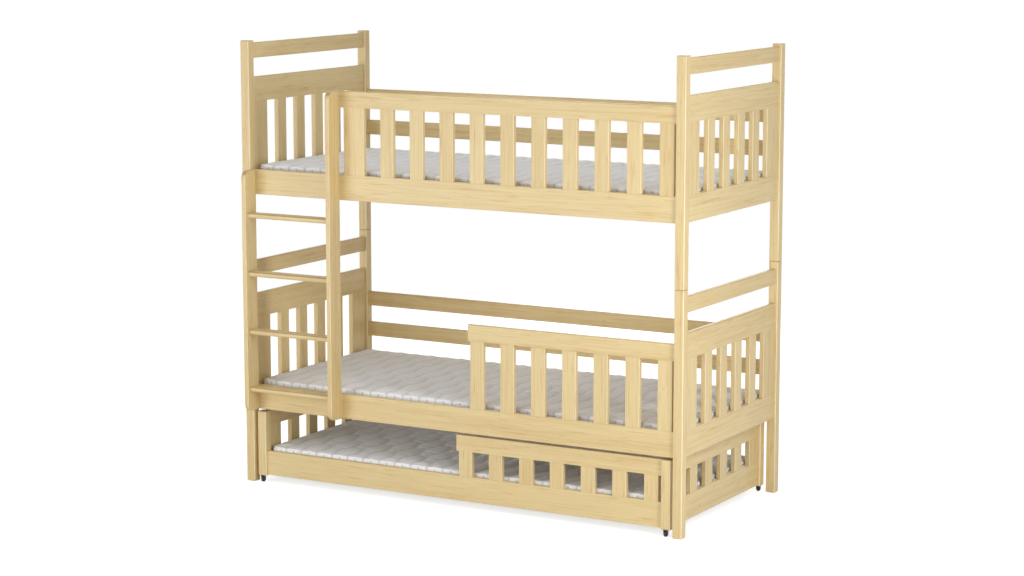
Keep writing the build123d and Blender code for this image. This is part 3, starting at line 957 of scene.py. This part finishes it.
@dataclass
class QuiltedMattress:
    """A foam mattress in a white cover, quilted across in wavy channels.

    The cover's mesh follows the stitching: its columns run along the seams, so that a seam is
    a line of points and the wadding swells between two of them.
    """

    node: str
    body: str
    phase: float
    channel_pitch: float = 0.075
    wave_swing: float = 0.0085
    wave_length: float = 0.185
    calm_power: float = 1.5
    calm_border: float = 0.05
    columns_per_channel: int = 6
    row_step: float = 0.0103
    rows_per_tick: int = 7
    corner_radius: float = 0.028
    edge_radius: float = 0.004
    edge_steps: int = 4
    fold_drop: float = 0.0012
    seam_drop: float = 0.02
    seam_depth: float = 0.0025
    seam_tolerance: float = 0.05
    border_step: float = 0.0095
    crown: float = 0.001
    seam_sink: float = 0.0005
    side_draw: float = 0.002
    swell: float = 0.0042
    swell_power: float = 0.75
    least_swell: float = 0.15
    start_share: float = 0.75
    tick_depth: float = 0.0032
    tick_power: float = 0.6
    half_tick_share: float = 0.85
    border_ease: float = 2.5
    most_move: float = 0.004
    last_frame: int = 14
    foot: Vector = field(init=False)
    height: float = field(init=False)
    half_x: float = field(init=False)
    half_y: float = field(init=False)
    pitch: float = field(init=False)
    row_gap: float = field(init=False)
    first_tick: int = field(init=False)
    columns: np.ndarray = field(init=False)
    rows: np.ndarray = field(init=False)
    share: float = field(init=False)

    def __post_init__(self) -> None:
        """Take the size and place from the CAD solid, and the rows and columns from them."""
        low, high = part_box(self.node)
        centre = (low + high) / 2
        self.foot = Vector((centre.x, centre.y, low.z))
        length, width, self.height = high - low
        self.half_x, self.half_y = length / 2 - self.side_draw, width / 2 - self.side_draw
        turn = np.linspace(0.0, math.pi / 2, self.edge_steps + 1)
        rim = self.edge_radius * (1.0 - np.cos(turn))
        rim = np.append(rim, (self.edge_radius + self.corner_radius) / 2)
        count = round(2 * self.half_x / self.channel_pitch)
        self.pitch = 2 * self.half_x / count
        inner = np.linspace(self.corner_radius, self.pitch, self.columns_per_channel)[:-1]
        ends = np.concatenate([rim, inner])
        middle = np.linspace(-self.half_x + self.pitch, self.half_x - self.pitch,
                             (count - 2) * self.columns_per_channel + 1)
        self.columns = np.concatenate([-self.half_x + ends, middle, (self.half_x - ends)[::-1]])
        reach = self.half_y - self.corner_radius
        tick_count = 2 * round(reach / self.row_step / self.rows_per_tick)
        row_count = tick_count * self.rows_per_tick
        self.row_gap = 2 * reach / row_count
        self.rows = np.concatenate([-self.half_y + rim, np.linspace(-reach, reach, row_count + 1),
                                    (self.half_y - rim)[::-1]])
        self.first_tick = len(rim)
        self.share = self.start_share

    def _outline_gap(self, x: np.ndarray, y: np.ndarray) -> np.ndarray:
        """How far each point lies inside the rounded outline.

        Args:
            x: The points' places along the bed, from its middle.
            y: Their places across it.

        Returns:
            The gap at each point, negative outside.
        """
        radius = self.corner_radius
        out_x, out_y = np.abs(x) - self.half_x + radius, np.abs(y) - self.half_y + radius
        outside = np.hypot(np.maximum(out_x, 0.0), np.maximum(out_y, 0.0))
        return radius - outside - np.minimum(np.maximum(out_x, out_y), 0.0)

    def _from_seam(self, along: np.ndarray) -> np.ndarray:
        """How far between two seams a place along the cover is: 0 at a seam, 1 half-way."""
        return np.abs(np.sin(np.pi * (along + self.half_x) / self.pitch))

    def _to_seam(self, along: np.ndarray) -> np.ndarray:
        """How far the nearest seam is from a place along the cover, in metres."""
        turn = (along + self.half_x) / self.pitch
        return np.abs(turn - np.round(turn)) * self.pitch

    def _top(self) -> Patch:
        """The top panel, made with a share of its full swell where the cloth is simulated.

        Returns:
            Its points, column by column.
        """
        s, y = np.meshgrid(self.columns, self.rows, indexing="ij")
        near = self.half_x - self.pitch
        over = np.maximum(np.abs(y) - self.half_y + self.corner_radius, 0.0)
        room = self.half_x - self.corner_radius + np.sqrt(
            np.maximum(self.corner_radius ** 2 - over ** 2, 0.0))
        past = np.maximum(np.abs(s) - near, 0.0) / self.pitch
        x = np.where(past > 0.0, np.sign(s) * (near + past * (room - near)), s)
        calm = np.clip((self.half_x - np.abs(s)) / self.pitch, 0.0, 1.0) ** self.calm_power
        calm *= np.clip((self.half_y - np.abs(y)) / self.calm_border, 0.0, 1.0)
        swing = self.wave_swing * calm * np.cos(np.pi * (s + self.half_x) / self.pitch)
        x = x + swing * np.sin(2.0 * np.pi * y / self.wave_length + self.phase)
        gap = np.clip(self._outline_gap(x, y), 0.0, self.edge_radius)
        drop = self.edge_radius - np.sqrt(
            np.maximum(self.edge_radius ** 2 - (self.edge_radius - gap) ** 2, 0.0))
        rise = self.crown * (1.0 - (y / self.half_y) ** 2) * (1.0 - (x / self.half_x) ** 4)
        puff = self.swell * self._from_seam(s) ** self.swell_power
        puff *= np.clip(gap / self.edge_radius, self.least_swell, 1.0)
        z = self.height - self.crown - self.seam_sink + rise - drop + puff * self.share
        on_seam = self._from_seam(self.columns) < self.seam_tolerance
        return Patch(
            places=np.stack([x, y, z], axis=-1).reshape(-1, 3),
            cloth=np.stack([s, y], axis=-1).reshape(-1, 2),
            sewn=np.repeat(on_seam, len(self.rows)),
            to_seam=self._to_seam(s).ravel(),
        )

    def _rim_loop(self) -> np.ndarray:
        """The top panel's outer points.

        Returns:
            Their column and row numbers, in order round the panel.
        """
        last_column, last_row = len(self.columns) - 1, len(self.rows) - 1
        front = [(i, 0) for i in range(last_column)]
        right = [(last_column, j) for j in range(last_row)]
        back = [(i, last_row) for i in range(last_column, 0, -1)]
        left = [(0, j) for j in range(last_row, 0, -1)]
        return np.array(front + right + back + left)

    def _border_profile(self) -> tuple[np.ndarray, np.ndarray]:
        """The border's shape from its rim down.

        Returns:
            Heights of the border's rings, and how far each is drawn in.
        """
        top = self.height - self.crown - self.seam_sink - self.edge_radius
        upper_seam, lower_seam = self.height - self.seam_drop, self.seam_drop
        count = max(2, round((upper_seam - lower_seam) / self.border_step))
        band = np.linspace(upper_seam, lower_seam, count + 1)
        foot_turn = np.linspace(0.0, math.pi / 2, self.edge_steps + 1)
        foot = self.edge_radius * (1.0 - np.sin(foot_turn))
        heights = np.concatenate([[top - self.fold_drop, (top + upper_seam) / 2], band,
                                  [(lower_seam + self.edge_radius) / 2], foot])
        draw = np.zeros_like(heights)
        draw[np.isclose(heights, upper_seam) | np.isclose(heights, lower_seam)] = self.seam_depth
        draw[-len(foot):] = self.edge_radius * (1.0 - np.cos(foot_turn))
        return heights, draw

    def _border(self, rim: np.ndarray, rim_cloth: np.ndarray, loop: np.ndarray) -> Patch:
        """The border below the top panel, with short stitches at and between the channels.

        Args:
            rim: The top panel's outer points, in order.
            rim_cloth: Their places on the cloth.
            loop: Their column and row numbers.

        Returns:
            Its points, ring by ring.
        """
        run = np.roll(rim, -1, axis=0)[:, :2] - np.roll(rim, 1, axis=0)[:, :2]
        outward = np.stack([run[:, 1], -run[:, 0]], axis=-1)
        outward /= np.linalg.norm(outward, axis=1)[:, None]
        on_side = (loop[:, 1] == 0) | (loop[:, 1] == len(self.rows) - 1)
        turn = np.where(on_side, (rim_cloth[:, 0] + self.half_x) / self.pitch,
                        (loop[:, 1] - self.first_tick) / self.rows_per_tick)
        from_tick = np.abs(np.sin(2.0 * np.pi * turn))
        at_channel = np.abs(np.sin(np.pi * turn)) < 0.5
        tick = self.tick_depth * np.where(at_channel, 1.0, self.half_tick_share)
        tick = tick * (1.0 - from_tick ** self.tick_power) * self.share
        tick_pitch = np.where(on_side, self.pitch, self.rows_per_tick * self.row_gap) / 2
        to_tick = np.abs(turn * 2.0 - np.round(turn * 2.0)) * tick_pitch * self.border_ease
        down_cloth = np.zeros_like(rim_cloth)
        down_cloth[on_side, 1] = np.sign(rim[on_side, 1])
        down_cloth[~on_side, 0] = np.sign(rim[~on_side, 0])
        rings = []
        for level, draw in zip(*self._border_profile()):
            bulge = self.side_draw * math.sin(math.pi * min(level / self.height, 1.0)) - draw
            ring = rim.copy()
            ring[:, :2] += outward * (bulge - tick)[:, None]
            ring[:, 2] = level
            ring_cloth = rim_cloth + down_cloth * (rim[:, 2] - level)[:, None]
            held = draw > 0.0 or level <= self.edge_radius
            rings.append(Patch(
                ring, ring_cloth, (from_tick < self.seam_tolerance) | held, to_tick))
        return Patch.joined(rings)

    def _faces(self, rim_index: np.ndarray, ring_count: int) -> list[list[int]]:
        """The faces of the top panel, then of the border, ring by ring.

        Args:
            rim_index: The top panel's outer points, in order.
            ring_count: How many rings of points the border has.

        Returns:
            The numbers of each face's points.
        """
        shape = (len(self.columns), len(self.rows))
        grid = np.arange(math.prod(shape)).reshape(shape)
        panel = np.stack([grid[:-1, :-1], grid[1:, :-1], grid[1:, 1:], grid[:-1, 1:]], -1)
        faces = panel.reshape(-1, 4).tolist()
        upper = rim_index
        for number in range(ring_count):
            lower = grid.size + number * len(upper) + np.arange(len(upper))
            faces += np.stack([upper, lower, np.roll(lower, -1), np.roll(upper, -1)], -1).tolist()
            upper = lower
        return faces

    def _shell(self) -> bpy.types.Object:
        """The cover, open underneath.

        Returns:
            The cover, with its cloth map and the points that stay sewn.
        """
        top, loop = self._top(), self._rim_loop()
        rim_index = loop[:, 0] * len(self.rows) + loop[:, 1]
        border = self._border(top.places[rim_index], top.cloth[rim_index], loop)
        whole = Patch.joined([top, border])
        places = whole.places + np.array(self.foot)
        faces = self._faces(rim_index, len(border.places) // len(loop))
        mesh = bpy.data.meshes.new(f"{self.node}_cover")
        mesh.from_pydata(places.tolist(), [], faces)
        mesh.validate()
        cover = bpy.data.objects.new(f"{self.node}_cover", mesh)
        bpy.context.scene.collection.objects.link(cover)
        to_seam = mesh.attributes.new(SEAM_MAP, "FLOAT", "POINT")
        to_seam.data.foreach_set("value", whole.to_seam.astype(np.float32))
        uv = mesh.uv_layers.new(name=CLOTH_MAP)
        corners = np.zeros(len(mesh.loops), dtype=np.int32)
        mesh.loops.foreach_get("vertex_index", corners)
        uv.data.foreach_set("uv", whole.cloth[corners].astype(np.float32).ravel())
        group = cover.vertex_groups.new(name=SEWN_POINTS)
        group.add(np.flatnonzero(whole.sewn).tolist(), 1.0, "REPLACE")
        return cover

    def _inflate(self, cover: bpy.types.Object) -> None:
        """Let the wadding swell between the seams, by a short cloth simulation.

        Args:
            cover: The sewn shell. Its points move by no more than the cap.
        """
        before = np.zeros(len(cover.data.vertices) * 3)
        cover.data.vertices.foreach_get("co", before)
        cloth = cover.modifiers.new("swell", "CLOTH")
        for name, value in COVER_CLOTH.items():
            setattr(cloth.settings, name, value)
        cloth.settings.effector_weights.gravity = 0.0
        cloth.collision_settings.use_collision = False
        cloth.point_cache.frame_start, cloth.point_cache.frame_end = 1, self.last_frame
        scene = bpy.context.scene
        for number in range(1, self.last_frame + 1):
            scene.frame_set(number)
        shown = cover.evaluated_get(bpy.context.evaluated_depsgraph_get())
        after = np.zeros_like(before)
        shown.data.vertices.foreach_get("co", after)
        cover.modifiers.remove(cloth)
        scene.frame_set(1)
        move = (after - before).reshape(-1, 3)
        far = np.linalg.norm(move, axis=1)
        log.info("%s: the cloth moved %.1f mm at most", cover.name, far.max() * 1000)
        move *= (self.most_move / np.maximum(far, self.most_move))[:, None]
        cover.data.vertices.foreach_set("co", before + move.ravel())
        cover.data.update()

    @staticmethod
    def _close(cover: bpy.types.Object) -> None:
        """Close the flat underside with one face.

        Args:
            cover: The cover, open along its lowest loop of edges.
        """
        shell = bmesh.new()
        shell.from_mesh(cover.data)
        rim = [edge for edge in shell.edges if edge.is_boundary]
        bmesh.ops.contextual_create(shell, geom=rim)
        bmesh.ops.recalc_face_normals(shell, faces=shell.faces)
        shell.to_mesh(cover.data)
        shell.free()

    def build(self, effects: SharedEffects, finish: QuiltFinish) -> bpy.types.Object:
        """Make the mattress and put it in its solid's place.

        Args:
            effects: The shared node groups.
            finish: The cover's finish.

        Returns:
            The finished mattress.
        """
        cover = self._shell()
        self._inflate(cover)
        bpy.ops.object.select_all(action="DESELECT")
        cover.select_set(True)
        bpy.context.view_layer.objects.active = cover
        smooth = cover.modifiers.new("smooth", "SUBSURF")
        smooth.levels = smooth.render_levels = 1
        bpy.ops.object.modifier_apply(modifier=smooth.name)
        self._close(cover)
        bpy.ops.object.shade_smooth()
        cover.data.materials.append(finish.material(effects))
        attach(cover, self.body)
        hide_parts(self.node)
        log.info("%s: %d faces over %s", cover.name, len(cover.data.polygons), self.node)
        return cover


@dataclass(frozen=True)
class SoftBox:
    """A soft lamp that stands beside the bed or over it and faces its middle."""

    name: str
    azimuth: float
    distance: float
    height: float
    width: float
    tall: float
    power: float
    aim_height: float = 0.9

    def build(self) -> None:
        """Place the lamp. Its azimuth runs from the bed's front towards its right end."""
        light = bpy.data.lights.new(self.name, "AREA")
        light.energy = self.power
        light.shape = "RECTANGLE"
        light.size, light.size_y = self.width, self.tall
        lamp = bpy.data.objects.new(self.name, light)
        turn = math.radians(self.azimuth)
        across, ahead = self.distance * math.sin(turn), self.distance * math.cos(turn)
        lamp.location = (across, -ahead, self.height)
        aim = Vector((0.0, 0.0, self.aim_height)) - lamp.location
        lamp.rotation_euler = aim.to_track_quat("-Z", "Y").to_euler()
        bpy.context.scene.collection.objects.link(lamp)
        log.info("lamp: %s", self.name)


@dataclass
class Studio:
    """The pale floor, the soft light and the camera."""

    camera_place: Triple = (4.98, -8.7389, 2.3856)
    camera_azimuth: float = 29.545
    camera_tilt: float = 8.848
    camera_reach: float = 200.0
    lens: float = 89.096
    sensor: float = 36.0
    floor_radius: float = 80.0
    floor_corners: int = 96
    floor_tone: float = 0.68
    floor_paler: float = 1.02
    floor_speck_scale: float = 40.0
    floor_roughness: float = 0.9
    floor_specular: float = 0.1
    floor_glow: float = 0.7
    sky_rim_light: float = 0.1
    sky_top_light: float = 0.47
    sky_rim_height: float = 0.1
    sky_top_height: float = 0.6
    lamps: tuple[SoftBox, ...] = (
        SoftBox("right_lamp", 66.0, 3.6, height=1.4, width=0.6, tall=2.4, power=46.0),
        SoftBox("near_lamp", 47.0, 2.6, height=1.2, width=1.8, tall=1.8, power=6.0),
        SoftBox("front_lamp", 12.0, 4.5, height=0.9, width=2.4, tall=1.6, power=17.0),
        SoftBox("left_lamp", -30.0, 4.5, height=1.15, width=2.4, tall=2.0, power=61.0),
        SoftBox("back_lamp", 195.0, 4.5, height=1.6, width=2.4, tall=2.4, power=36.0),
        SoftBox("top_lamp", 0.0, 0.0, height=4.2, width=3.0, tall=3.0, power=22.0),
    )

    def build(self) -> None:
        """Place everything around the bed."""
        self._floor()
        self._sky()
        for lamp in self.lamps:
            lamp.build()
        self._camera()
        bpy.context.scene.view_settings.view_transform = "Standard"

    @staticmethod
    def _seen(sheet: ShaderSheet) -> Socket:
        """Where the camera looks, straight, in a reflection or through glass.

        Args:
            sheet: The sheet that it is worked out on.

        Returns:
            1 for such a ray, and 0 for the others.
        """
        rays = sheet.add("LightPath").outputs
        mirrored = sheet.math("MAXIMUM", rays["Is Camera Ray"], rays["Is Glossy Ray"])
        return sheet.math("MAXIMUM", mirrored, rays["Is Transmission Ray"])

    def _floor(self) -> None:
        """A wide pale floor that shows white and keeps the bed's shadow."""
        bpy.ops.object.select_all(action="DESELECT")
        bpy.ops.mesh.primitive_circle_add(
            vertices=self.floor_corners, radius=self.floor_radius, fill_type="NGON")
        floor = bpy.context.active_object
        floor.name = "studio_floor"
        material, sheet, shader = new_material("pale_floor")
        place = sheet.add("TexCoord").outputs["Object"]
        tone, paler = self.floor_tone, self.floor_tone * self.floor_paler
        sheet.fill(
            shader,
            Base_Color=sheet.mix(sheet.noise(place, self.floor_speck_scale),
                                 (tone, tone, tone, 1.0), (paler, paler, paler, 1.0)),
            Roughness=self.floor_roughness,
            Specular_IOR_Level=self.floor_specular,
            Emission_Color=WHITE,
            Emission_Strength=sheet.times(self._seen(sheet), self.floor_glow),
        )
        floor.data.materials.append(material)

    def _sky(self) -> None:
        """A soft white light, stronger from above than from its rim, that shows plain white."""
        world = bpy.data.worlds.new("studio_sky")
        bpy.context.scene.world = world
        world.use_nodes = True
        world.node_tree.nodes.clear()
        sheet = ShaderSheet(world.node_tree)
        height = sheet.split(sheet.add("TexCoord").outputs["Generated"])[2]
        light = sheet.remap(height, self.sky_rim_height, self.sky_top_height,
                            self.sky_rim_light, self.sky_top_light)
        strength = sheet.remap(self._seen(sheet), 0.0, 1.0, light, 1.0)
        sky = sheet.fill(sheet.add("Background"), Color=WHITE, Strength=strength)
        sheet.fill(sheet.add("OutputWorld"), Surface=sky.outputs["Background"])

    def _camera(self) -> None:
        """The camera, in front of the bed's right end and tilted down, with a long lens."""
        data = bpy.data.cameras.new("view")
        data.lens = self.lens
        data.sensor_width = self.sensor
        data.clip_end = self.camera_reach
        camera = bpy.data.objects.new("view", data)
        camera.location = Vector(self.camera_place)
        upright = math.radians(90.0 - self.camera_tilt)
        camera.rotation_euler = Euler((upright, 0.0, math.radians(self.camera_azimuth)))
        bpy.context.scene.collection.objects.link(camera)
        bpy.context.scene.camera = camera


def main() -> None:
    """Dress the bed, make its mattresses and light it."""
    logging.basicConfig(level=logging.INFO, format="%(name)s %(message)s")
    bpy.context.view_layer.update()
    effects = SharedEffects()
    for part in (TimberFrame, Ladder, TrundleBox, SlattedBases, Fittings, Castors):
        part(effects).build()
        log.info("dressed: %s", part.__name__)
    beds = (("lower_mattress", "bunk_frame", 0.0), ("upper_mattress", "bunk_frame", 1.7),
            ("trundle_mattress", "trundle", 3.1))
    for node, body, phase in beds:
        QuiltedMattress(node, body, phase).build(effects, QuiltFinish())
    Studio().build()


if __name__ == "__main__":
    main()
